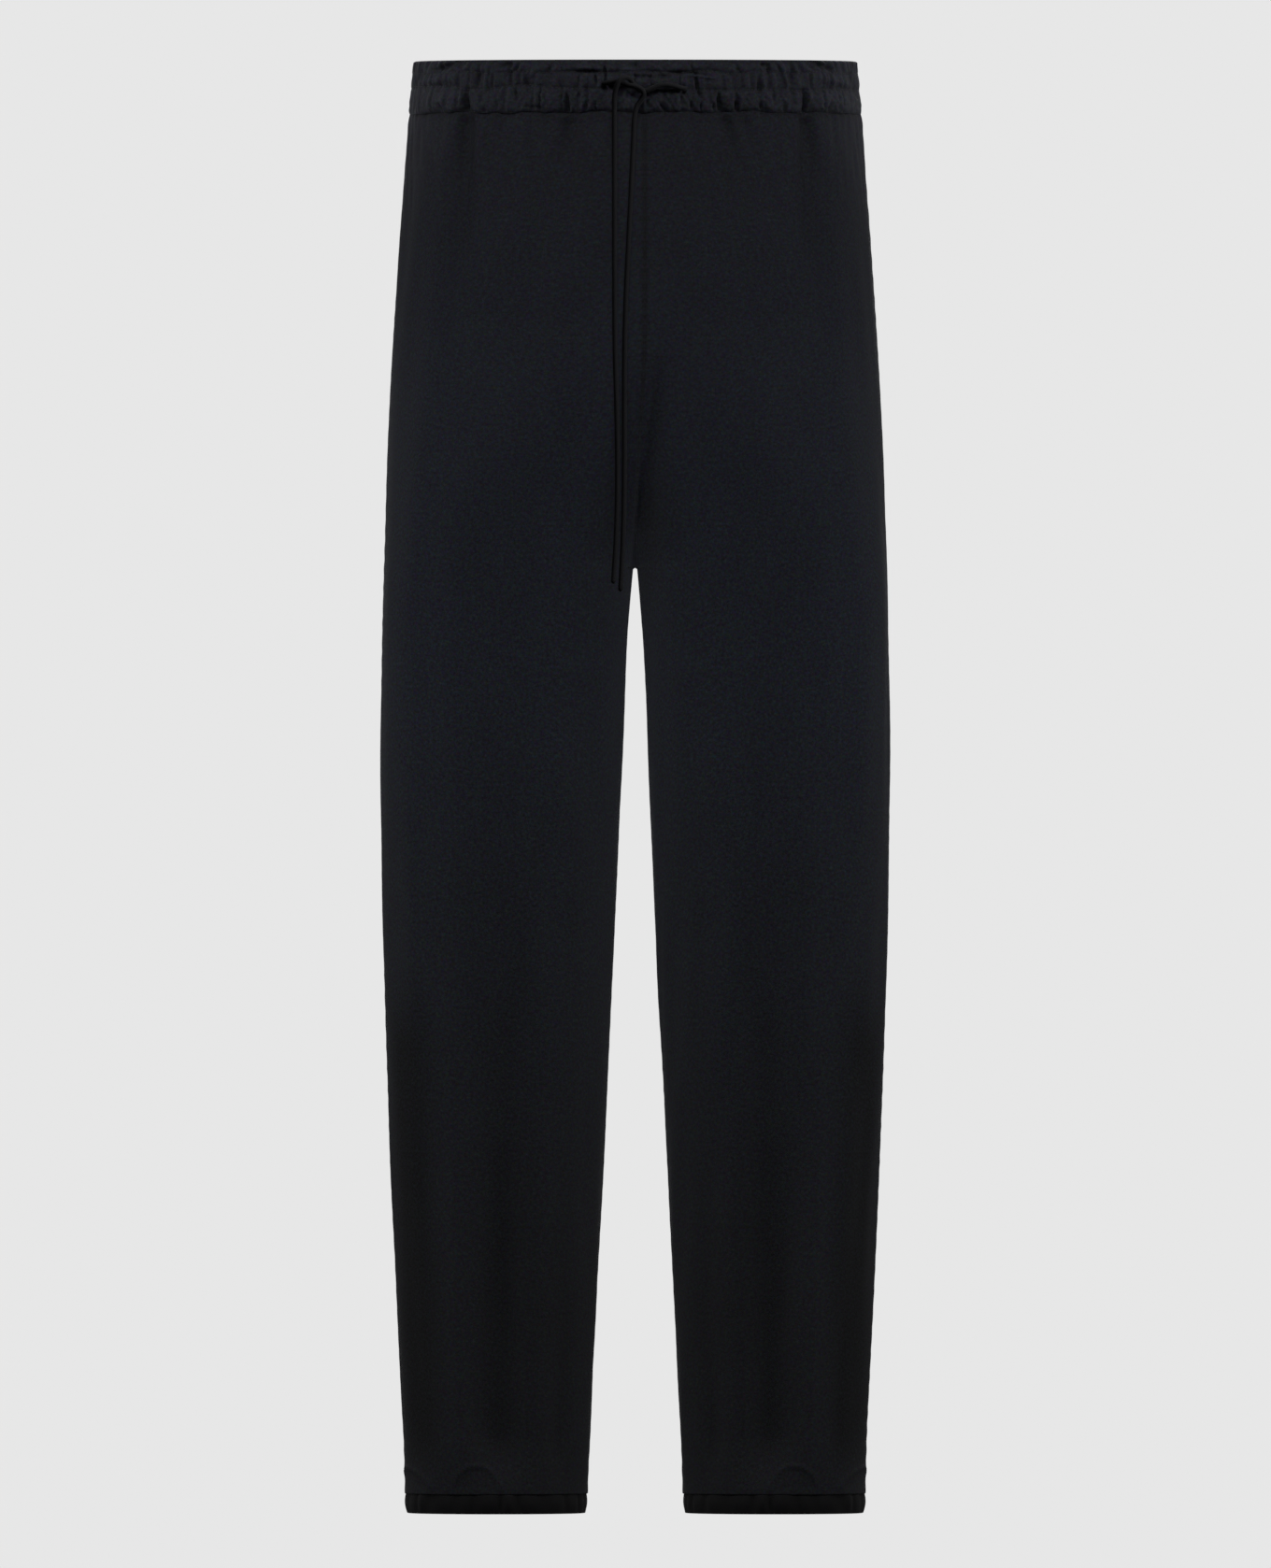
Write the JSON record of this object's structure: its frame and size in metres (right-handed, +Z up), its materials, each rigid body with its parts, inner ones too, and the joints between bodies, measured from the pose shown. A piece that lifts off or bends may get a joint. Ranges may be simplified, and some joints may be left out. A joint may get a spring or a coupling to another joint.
{
  "type": "joggers",
  "caption": "Long loose joggers in near-black cloth with a shirred drawstring waist and narrow gathered cuffs, in their hollow worn form",
  "frame": {"origin": "middle of the waist, half way up the waistband, where the wearer's waist holds the garment", "axes": "+Z up towards the waist opening, -Y the front of the garment, +X the wearer's left"},
  "size_m": [0.3682, 0.2445, 1.05],
  "materials": {
    "cloth": "matte fine crepe knit",
    "waistband_cloth": "the same cloth, shirred over elastic",
    "cuff_cloth": "the same cloth, gathered, darker in its folds",
    "cord": "matte round braid"
  },
  "bodies": {
    "root": {"front_right": "cloth", "front_left": "cloth", "back_right": "cloth", "back_left": "cloth", "waistband_front": "waistband_cloth", "waistband_back": "waistband_cloth", "cuff_right": "cuff_cloth", "cuff_left": "cuff_cloth", "drawstring_right": "cord", "drawstring_left": "cord"}
  },
  "joints": []
}
